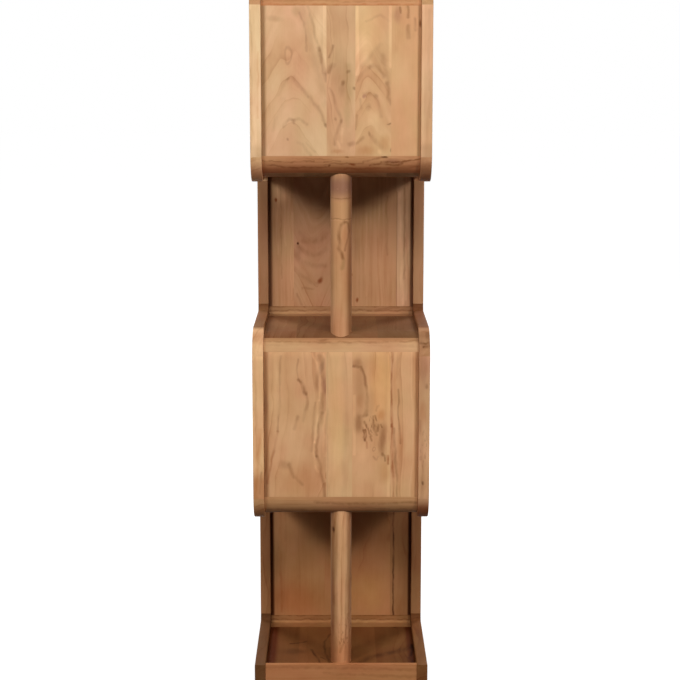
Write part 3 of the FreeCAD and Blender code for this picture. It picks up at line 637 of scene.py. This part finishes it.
        Strip((134, 144, 1110), (134, 144, 830), 4, STAIN_AND_SHADE, 0.5),
        Vein([(141, 1110), (146, 980), (150, 840)], 8, CREAM, 0.8),
        Vein([(158, 1110), (160, 980), (158, 850)], 5, CREAM, 0.5),
        Vein([(153, 1120), (154, 900)], 4, STAIN_AND_SHADE, 0.4),
    ],
    "lower_rear_board_1": [
        # painted shade beside the left rear frame
        Strip((-176, 144, 400), (-176, 144, 40), 15, PITCH_BLACK, 1.0),
        # painted light: a paler patch at the board's top left
        Blot((-140, 270), (70, 90), 0, CREAM, 1.0),
        Blot((-146, 285), (54, 76), 0, CREAM, 0.9),
        Vein([(-150, 380), (-152, 200), (-148, 60)], 7, RUST, 0.5),
        Blot((-110, 90), (90, 60), 0, RUST, 0.7),
    ],
    "lower_rear_board_3": [
        Blot((60, 110), (60, 70), 0, HONEY, 0.8),
    ],
    "lower_rear_board_4": [
        # painted shade beside the right rear frame
        Strip((175, 144, 400), (175, 144, 40), 12, PITCH_BLACK, 0.95),
        Vein([(131, 400), (131, 40)], 4, PITCH_BLACK, 0.85),
    ],
    "upper_opening_post": [
        # painted shade down both sides of the round post, deeper on its right
        Strip((-24, -115, 1170), (-24, -115, 810), 27, STAIN_AND_SHADE, 0.30),
        Strip((24, -115, 1170), (24, -115, 810), 33, STAIN_AND_SHADE, 0.80),
        Blot((0, 1146), (70, 32), 0, DUSK, 1.0),
        Blot((-8, 1139), (3, 1.6), 0, CREAM, 0.9),
        Blot((13, 1138), (3, 1.6), 0, CREAM, 0.9),
        Vein([(-30, 1119), (30, 1119)], 2.4, STAIN_AND_SHADE, 0.55),
        Vein([(-30, 1073), (30, 1073)], 2.2, STAIN_AND_SHADE, 0.50),
        Vein([(-30, 1070), (30, 1070)], 2.2, CREAM, 0.50),
        Blot((8, 1036), (7, 24), 0, RUST, 0.30),
        Vein([(5, 1067), (-1, 1060), (-4, 1036), (-2, 1018), (-4, 1006), (2, 984)], 7, STAIN_AND_SHADE, 0.86),
        Vein([(10, 1066), (15, 1062), (17, 1046), (15, 1030), (9, 1014), (7, 1002)], 4.5, STAIN_AND_SHADE, 0.56),
        Vein([(3, 978), (1, 960)], 8, OLIVE, 0.70),
        Blot((14, 920), (12, 50), 0, RUST, 0.40),
    ],
    "lower_opening_post": [
        # painted shade down both sides of the round post
        Strip((-24, -115, 400), (-24, -115, 30), 38, STAIN_AND_SHADE, 0.76),
        Strip((24, -115, 400), (24, -115, 30), 31, STAIN_AND_SHADE, 0.78),
        Blot((-17, 353), (4, 10), 0, PITCH_BLACK, 0.8),
        Vein([(-13, 390), (-11, 300), (-15, 200), (-13, 40)], 13, STAIN_AND_SHADE, 0.36),
        Vein([(12, 390), (14, 250), (10, 40)], 5, STAIN_AND_SHADE, 0.28),
        Flecks((6, 110), (22, 56), 0, STAIN_AND_SHADE, 0.42),
        Vein([(0, 60), (14, 120), (16, 150)], 5, STAIN_AND_SHADE, 0.36),
        Blot((0, 40), (60, 90), 0, RUST, 0.7),
    ],
    "top_nose": [
        Vein([(-190, 1541), (190, 1541)], 5, RUST, 0.7),
        Vein([(-170, 1550), (-60, 1552), (60, 1548), (180, 1552)], 5, STAIN_AND_SHADE, 0.3),
        Blot((-160, 1556), (12, 6), 0, STAIN_AND_SHADE, 0.4),
    ],
    "upper_box_floor_nose": [
        # painted shade on the lower curve of the nose
        Strip((-190, -160, 1154), (190, -160, 1154), 36, UMBER, 0.95),
        Strip((-190, -170, 1154), (190, -170, 1154), 66, UMBER, 0.80),
        Blot((113, 1204), (24, 7), 0, MAUVE, 0.80),
        Blot((95, 1212), (10, 3), 0, PITCH_BLACK, 0.85),
        Vein([(49, 1202), (71, 1208), (88, 1212)], 3.5, STAIN_AND_SHADE, 0.55),
        Vein([(87, 1202), (108, 1201), (130, 1203), (152, 1205), (175, 1208)], 3.5, STAIN_AND_SHADE, 0.90),
        Vein([(65, 1194), (87, 1198), (108, 1195), (127, 1195), (135, 1200)], 4.5, STAIN_AND_SHADE, 0.75),
        Blot((147, 1197), (18, 3.5), 0, CREAM, 0.60),
        Blot((25, 1196), (10, 3.5), 0, UMBER, 0.80),
        Blot((-25, 1192), (3.5, 3.5), 0, STAIN_AND_SHADE, 0.90),
        Blot((12, 1211), (6, 3), 0, STAIN_AND_SHADE, 0.65),
        Vein([(-36, 1202), (0, 1202)], 2.8, STAIN_AND_SHADE, 0.45),
        Vein([(-36, 1195), (50, 1199)], 2.8, STAIN_AND_SHADE, 0.45),
        Vein([(-175, 1204), (-110, 1201), (-60, 1203)], 3.2, STAIN_AND_SHADE, 0.55),
        Vein([(-165, 1193), (-90, 1188), (-30, 1190)], 3.5, STAIN_AND_SHADE, 0.60),
        Vein([(-120, 1209), (-20, 1207)], 2.8, STAIN_AND_SHADE, 0.35),
        Vein([(10, 1186), (90, 1187), (170, 1190)], 5, UMBER, 0.42),
    ],
    "lower_box_top_nose": [
        # darker along the middle of the rounded top edge
        Strip((-190, -142, 804), (190, -142, 804), 10, STAIN_AND_SHADE, 0.26),
        Strip((-190, -142, 804), (190, -142, 804), 20, RUST, 0.32),
        Vein([(-180, 798), (-40, 795), (180, 798)], 3.5, STAIN_AND_SHADE, 0.44),
        Blot((-42, 800), (15, 4.5), 4, STAIN_AND_SHADE, 0.5),
        Vein([(-170, 790), (-20, 794), (160, 788)], 6, STAIN_AND_SHADE, 0.16),
    ],
    "lower_box_floor_nose": [
        # painted shade on the lower curve of the nose
        Strip((-190, -160, 380), (190, -160, 380), 32, UMBER, 0.85),
        Strip((-190, -168, 380), (190, -168, 380), 50, RUST, 0.5),
        Vein([(-60, 426), (60, 421), (170, 426)], 6, STAIN_AND_SHADE, 0.42),
        Vein([(-170, 406), (-20, 400), (160, 405)], 6, STAIN_AND_SHADE, 0.36),
        Vein([(20, 412), (110, 408)], 4, STAIN_AND_SHADE, 0.3),
    ],
    "base_front_lip": [
        Vein([(-190, 36), (20, 33), (190, 28)], 6, STAIN_AND_SHADE, 0.3),
        Vein([(-40, 22), (70, 15), (190, 12)], 6, STAIN_AND_SHADE, 0.3),
    ],
    "lower_box_top_rear_block": [
        Vein([(-190, 834), (190, 834)], 4, STAIN_AND_SHADE, 0.7),
        Vein([(-190, 823), (190, 823)], 2.6, STAIN_AND_SHADE, 0.55),
        Vein([(-190, 818), (190, 818)], 3.4, CREAM, 0.70),
        Vein([(-20, 828), (60, 824), (140, 830)], 4, STAIN_AND_SHADE, 0.4),
    ],
    "base_rear_corner_block": [
        Vein([(-190, 50), (190, 50)], 4, STAIN_AND_SHADE, 0.7),
        Vein([(-190, 39), (190, 39)], 2.6, STAIN_AND_SHADE, 0.65),
        Vein([(-190, 34), (190, 34)], 3.4, CREAM, 0.80),
        Blot((60, 45), (70, 9), 0, RUST, 0.5),
    ],
    "right_lower_front_stile": [
        Blot((188, 740), (14, 60), 0, MAUVE, 0.45),
        Blot((188, 520), (30, 100), 0, CREAM, 0.62),
        Blot((186, 640), (10, 30), 0, RUST, 0.5),
        Blot((192, 700), (5, 8), 0, STAIN_AND_SHADE, 0.5),
        Flecks((186, 560), (12, 60), 0, STAIN_AND_SHADE, 0.34),
        Blot((185, 477), (4, 6), 0, PITCH_BLACK, 0.6),
        Vein([(178, 620), (184, 520), (182, 440)], 6, STAIN_AND_SHADE, 0.3),
    ],
    "left_lower_front_stile": [
        # painted shade towards the bottom, where the frame curves under
        Strip((-210, -176, 438), (-170, -176, 438), 90, UMBER, 0.62),
        # lighter towards the top
        Strip((-210, -176, 778), (-170, -176, 778), 30, CREAM, 0.4),
        Vein([(-184, 600), (-190, 520), (-194, 440)], 8, RUST, 0.7),
        Vein([(-180, 500), (-186, 450)], 5, STAIN_AND_SHADE, 0.5),
        Vein([(-194, 775), (-192, 600)], 5, STAIN_AND_SHADE, 0.25),
    ],
    "left_upper_front_stile": [
        # painted shade towards the bottom, where the frame curves under
        Strip((-210, -176, 1212), (-170, -176, 1212), 40, GRIME_AND_SHADE, 0.24),
        Vein([(-196, 1530), (-195, 1380), (-197, 1230)], 4, STAIN_AND_SHADE, 0.30),
        Vein([(-182, 1440), (-183, 1300)], 4, RUST, 0.4),
        Vein([(-190, 1300), (-188, 1220)], 6, CREAM, 0.3),
    ],
    "right_upper_front_stile": [
        # painted shade towards the bottom, where the frame curves under
        Strip((170, -176, 1212), (210, -176, 1212), 46, GRIME_AND_SHADE, 0.40),
        # painted highlight along the frame's inner edge
        Strip((177, -176, 1560), (177, -176, 1215), 6, CREAM, 0.30),
        Blot((188, 1330), (14, 90), 0, MAUVE, 0.26),
        Vein([(192, 1530), (190, 1420), (193, 1300)], 5, STAIN_AND_SHADE, 0.16),
    ],
    "left_upper_box_floor_runner": [
        # painted shade on the lower front curve
        Strip((-210, -168, 1154), (-170, -168, 1154), 90, UMBER, 0.28),
        Strip((-210, -168, 1154), (-170, -168, 1154), 50, UMBER, 0.60),
        # painted shade along the runner's top
        Strip((-188, -60, 1197), (-188, 200, 1197), 30, UMBER, 0.5),
    ],
    "right_upper_box_floor_runner": [
        # painted shade on the lower front curve
        Strip((170, -168, 1154), (210, -168, 1154), 100, UMBER, 0.40),
        Strip((170, -168, 1154), (210, -168, 1154), 66, STAIN_AND_SHADE, 0.80),
        # painted shade along the runner's top
        Strip((188, -60, 1197), (188, 200, 1197), 30, UMBER, 0.5),
    ],
    "left_lower_box_floor_runner": [
        # painted shade on the lower front curve
        Strip((-210, -168, 380), (-170, -168, 380), 60, UMBER, 0.20),
        Strip((-210, -168, 380), (-170, -168, 380), 56, UMBER, 0.42),
        # painted shade along the runner's top
        Strip((-188, -60, 423), (-188, 200, 423), 30, UMBER, 0.5),
    ],
    "right_lower_box_floor_runner": [
        # painted shade on the lower front curve
        Strip((170, -168, 380), (210, -168, 380), 76, UMBER, 0.40),
        Strip((170, -168, 380), (210, -168, 380), 66, UMBER, 0.74),
        # painted shade along the runner's top
        Strip((188, -60, 423), (188, 200, 423), 30, UMBER, 0.5),
    ],
    "left_lower_box_top_runner": [
        # painted shade on the front top curve and along the runner's top
        Strip((-210, -176, 828), (-170, -176, 828), 46, UMBER, 0.62),
        Strip((-188, -90, 828), (-188, 190, 840), 52, STAIN_AND_SHADE, 1.0),
        Strip((-188, -90, 828), (-188, 190, 840), 52, GRIME_AND_SHADE, 0.45),
    ],
    "right_lower_box_top_runner": [
        Blot((196, 811), (7, 9), 0, STAIN_AND_SHADE, 0.42),
        Blot((186, 802), (7, 9), 0, CREAM, 0.45),
        Vein([(178, 796), (190, 793), (203, 798)], 5, STAIN_AND_SHADE, 0.85),
        Vein([(183, 787), (192, 787), (203, 791)], 4, STAIN_AND_SHADE, 0.55),
        Blot((184, 787), (3, 3), 0, STAIN_AND_SHADE, 0.60),
        # painted shade on the front top curve and along the runner's top
        Strip((170, -176, 828), (210, -176, 828), 62, GRIME_AND_SHADE, 0.62),
        Strip((188, -90, 828), (188, 190, 840), 52, STAIN_AND_SHADE, 1.0),
    ],
    "lower_box_top_boards": [
        Blot((-100, -10), (70, 140), 0, CREAM, 0.85),
    ],
    "base_boards": [
        Blot((115, -20), (60, 110), 0, CREAM, 0.50),
        # painted shade along both sides of the shelf, next to the frames
        Strip((-175, -170, 31), (-175, 130, 31), 34, UMBER, 0.95),
        Strip((175, -170, 31), (175, 130, 31), 26, UMBER, 0.85),
        Blot((-108, -58), (36, 24), 0, PITCH_BLACK, 0.34),
        Vein([(-121, -8), (-100, -2), (-85, 8)], 5, PITCH_BLACK, 0.9),
        Vein([(-72, -46), (-61, -87), (-49, -137), (-39, -166)], 5, PITCH_BLACK, 0.66),
        Vein([(-25, 63), (-38, 14), (-42, -27), (-37, -74), (-23, -142)], 5, PITCH_BLACK, 0.56),
        Vein([(-50, -96), (-34, -112), (-18, -146)], 5, PITCH_BLACK, 0.60),
        Vein([(32, -149), (73, -94), (128, -60), (172, -27)], 20, PITCH_BLACK, 0.5),
        Blot((40, -142), (11, 6), 0, PITCH_BLACK, 0.70),
        Vein([(172, -10), (168, -60), (163, -100), (168, -135)], 8, PITCH_BLACK, 0.80),
        Blot((134, 107), (7, 6), 0, PITCH_BLACK, 0.60),
    ],
}

# What the wood is multiplied by: a tint for each kind of piece, and the tints of pieces that have their own.
# The dark ones stand for the shade that those pieces are in as well as for their wood.
TINTS = {
    "front": (1.0, 1.0, 1.0),
    "rear": (0.66, 0.50, 0.38),
    "post": (0.82, 0.77, 0.73),
    "frame": (0.90, 0.84, 0.80),
    "cross": (0.74, 0.62, 0.52),
    "shelf": (0.33, 0.25, 0.21),
}
OWN_TINTS = {
    "top_boards": (0.78, 0.70, 0.64),
    "upper_box_floor_boards": (0.52, 0.43, 0.37),
    "lower_box_floor_boards": (0.52, 0.43, 0.37),
    "base_boards": (0.25, 0.155, 0.09),
    "base_front_lip": (0.68, 0.47, 0.35),
    "base_rear_corner_block": (0.49, 0.37, 0.26),
    "left_base_runner": (0.24, 0.175, 0.125),
    "right_base_runner": (0.325, 0.222, 0.145),
    "left_lower_rear_stile": (0.56, 0.42, 0.33),
    "right_lower_rear_stile": (0.56, 0.41, 0.32),
    "left_upper_rear_stile": (0.65, 0.52, 0.48),
    "right_upper_rear_stile": (0.80, 0.67, 0.64),
    "left_upper_front_stile": (1.22, 1.34, 1.42),
    "right_upper_front_stile": (1.08, 1.08, 1.12),
    "left_lower_front_stile": (1.18, 1.14, 1.08),
    "right_lower_front_stile": (0.90, 0.82, 0.82),
    "left_upper_box_floor_runner": (1.34, 1.46, 1.52),
    "right_upper_box_floor_runner": (1.12, 1.06, 1.10),
    "left_lower_box_floor_runner": (0.92, 0.82, 0.74),
    "right_lower_box_floor_runner": (0.84, 0.76, 0.74),
    "left_lower_box_top_runner": (1.26, 1.30, 1.32),
    "right_lower_box_top_runner": (0.82, 0.74, 0.72),
    "lower_box_top_rear_block": (0.54, 0.45, 0.39),
    "top_nose": (0.86, 0.72, 0.62),
    "upper_box_floor_nose": (0.84, 0.68, 0.60),
    "lower_box_top_nose": (0.88, 0.82, 0.78),
    "lower_box_floor_nose": (0.86, 0.70, 0.60),
    "upper_front_board_1": (1.07, 1.10, 1.16),
    "upper_front_board_2": (0.99, 0.98, 1.0),
    "upper_front_board_3": (1.03, 1.02, 1.0),
    "upper_front_board_4": (1.02, 0.97, 0.92),
    "lower_front_board_1": (1.03, 0.96, 0.93),
    "lower_front_board_2": (1.09, 1.08, 1.05),
    "lower_front_board_3": (1.02, 0.95, 0.88),
    "lower_front_board_4": (1.04, 0.98, 0.92),
    "upper_rear_board_1": (0.67, 0.56, 0.51),
    "upper_rear_board_2": (0.69, 0.585, 0.575),
    "upper_rear_board_3": (0.68, 0.57, 0.51),
    "upper_rear_board_4": (0.84, 0.77, 0.78),
    "lower_rear_board_4": (0.52, 0.38, 0.29),
    "lower_opening_post": (1.0, 0.885, 0.81),
    "upper_opening_post": (0.875, 0.745, 0.68),
}


# how the names of the pieces whose grain runs across the object end
CROSS_ENDINGS = ("nose", "block", "lip", "dowels")
# each piece's grain starts at a place of its own
SEED_START = 1.0
SEED_STEP = 0.37


def kind_of(name):
    if name.endswith("boards"):
        return "shelf"
    if name.endswith(CROSS_ENDINGS):
        return "cross"
    if name.endswith("post"):
        return "post"
    if "rear_board" in name:
        return "rear"
    if "front_board" in name:
        return "front"
    return "frame"


def plain_cut(number, kind):
    """A cut for a piece that has none of its own, spread by its number so that no two pieces match."""
    side, depth = math.sin(number * 2.4), math.cos(number * 1.7)
    streak = 0.16 if kind in ("frame", "cross") else 0.10
    return Cut(30 + 20 * side, 60 + 30 * depth, 0.03 * side, 0.02 * depth, 20 + 6 * side, 45, 0.26, streak)


def grain_axis(name):
    if name.endswith(("runner", "boards")):
        return "y"
    if name.endswith(CROSS_ENDINGS):
        return "x"
    return "z"


for number, name in enumerate(sorted(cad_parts)):
    kind = kind_of(name)
    seams = ()
    if kind == "shelf":
        seams = [-place for place in reversed(SHELF_SEAMS)] if "floor" in name else SHELF_SEAMS
    cut = CUTS.get(name, plain_cut(number, kind))
    tint = OWN_TINTS.get(name, TINTS[kind]) + (1.0,)
    seed = SEED_STEP * number + SEED_START
    marks = MARKS.get(name, ())
    dress(name, wood_material(name, grain_axis(name), cut, tint, seed, marks, seams, kind == "shelf"))


# ---------------------------------------------------------------- light, floor and camera

WHITE = (1.0, 1.0, 1.0, 1.0)

# where the lamps point, and how far from it they stand, in metres
AIM = (0.0, 0.0, 0.8)
LAMP_DISTANCE = 5.0

# how brightly the floor shines beside the object, and how much of the lamps' light it returns to the camera
# and to everything else
FLOOR_GLOW = 0.80
FLOOR_SEEN_SHARE = 0.40
FLOOR_BOUNCE = 0.12
# how far the floor reaches, and where its glow starts and ends its rise to 1, in metres from the middle
FLOOR_HALF_SIDE = 30.0
GLOW_START = 0.4
GLOW_END = 2.6


def softbox(name, azimuth, elevation, width, height, power):
    """A lamp that points at the object's middle. Azimuth 0 is in front of it and 90 is at +X, in degrees."""
    turn, rise = math.radians(azimuth), math.radians(elevation)
    level = LAMP_DISTANCE * math.cos(rise)
    place = (level * math.sin(turn), -level * math.cos(turn), AIM[2] + LAMP_DISTANCE * math.sin(rise))
    lamp = bpy.data.lights.new(name, "AREA")
    lamp.shape = "RECTANGLE"
    lamp.size = width
    lamp.size_y = height
    lamp.energy = power
    holder = bpy.data.objects.new(name, lamp)
    holder.location = place
    holder.rotation_euler = (Vector(AIM) - Vector(place)).to_track_quat("-Z", "Y").to_euler()
    bpy.context.scene.collection.objects.link(holder)


def seen_directly(g):
    """1 for camera, glossy and transmission rays, 0 for the rest."""
    path = g.put("ShaderNodeLightPath", {}).outputs
    seen = g.number("MAXIMUM", path["Is Camera Ray"], path["Is Glossy Ray"])
    return g.number("MAXIMUM", seen, path["Is Transmission Ray"])


def white_world():
    """A white background that lights the object only in its gloss."""
    world = bpy.data.worlds.new("studio")
    bpy.context.scene.world = world
    g = empty_graph(world)
    back = g.put("ShaderNodeBackground", {"Color": WHITE, "Strength": seen_directly(g)})
    g.put("ShaderNodeOutputWorld", {"Surface": back.outputs[0]})


def pale_floor():
    """A white floor that keeps the object's shadow: it shines for the camera, and the lamps add the rest."""
    bpy.ops.mesh.primitive_plane_add(size=2 * FLOOR_HALF_SIDE, location=(0.0, 0.0, 0.0))
    floor = bpy.context.object
    floor.name = "floor"
    material = bpy.data.materials.new("floor_white")
    g = empty_graph(material)
    away = g.vector("LENGTH", g.put("ShaderNodeTexCoord", {}).outputs["Object"])
    seen = seen_directly(g)
    share = g.number("MULTIPLY_ADD", seen, FLOOR_SEEN_SHARE - FLOOR_BOUNCE, FLOOR_BOUNCE)
    glow = g.ease(away, GLOW_START, GLOW_END, FLOOR_GLOW, 1.0)
    matt = g.put("ShaderNodeBsdfDiffuse", {"Color": g.join(share, share, share)})
    shine = g.put("ShaderNodeEmission", {"Color": WHITE, "Strength": g.number("MULTIPLY", seen, glow)})
    both = g.put("ShaderNodeAddShader", {0: matt.outputs[0], 1: shine.outputs[0]})
    g.put("ShaderNodeOutputMaterial", {"Surface": both.outputs[0]})
    floor.data.materials.append(material)


softbox("softbox_top", 0, 38, 2.0, 0.9, 71.0)
for side, label in ((-1, "left"), (1, "right")):
    softbox("softbox_" + label, side * 35, 23, 0.7, 0.8, 74.0)
    softbox("fill_" + label, side * 65, 25, 0.9, 0.9, 24.0)
    softbox("back_" + label, side * 145, 30, 1.4, 1.4, 110.0)
white_world()
pale_floor()

# the picture's side, the focal length and the row that the lens points at, in pixels
FRAME_SIDE = 680
FOCUS = 1600.0
AXIS_ROW = 323.0
# the sensor's width, in millimetres
SENSOR = 36.0
# where the camera stands, in metres, and how far it looks down and turns, in degrees
EYE = (-0.010, -3.704, 1.412)
PITCH = 9.15
YAW = -0.12
# how far it sees, in metres
CLIP_END = 100.0

camera_data = bpy.data.cameras.new("camera")
camera_data.sensor_width = SENSOR
camera_data.lens = FOCUS / FRAME_SIDE * SENSOR
camera_data.shift_y = (AXIS_ROW - FRAME_SIDE / 2) / FRAME_SIDE
camera_data.clip_end = CLIP_END
camera = bpy.data.objects.new("camera", camera_data)
camera.location = EYE
camera.rotation_euler = (math.radians(90.0 - PITCH), 0.0, math.radians(YAW))
bpy.context.scene.collection.objects.link(camera)
bpy.context.scene.camera = camera
bpy.context.scene.view_settings.view_transform = "Standard"
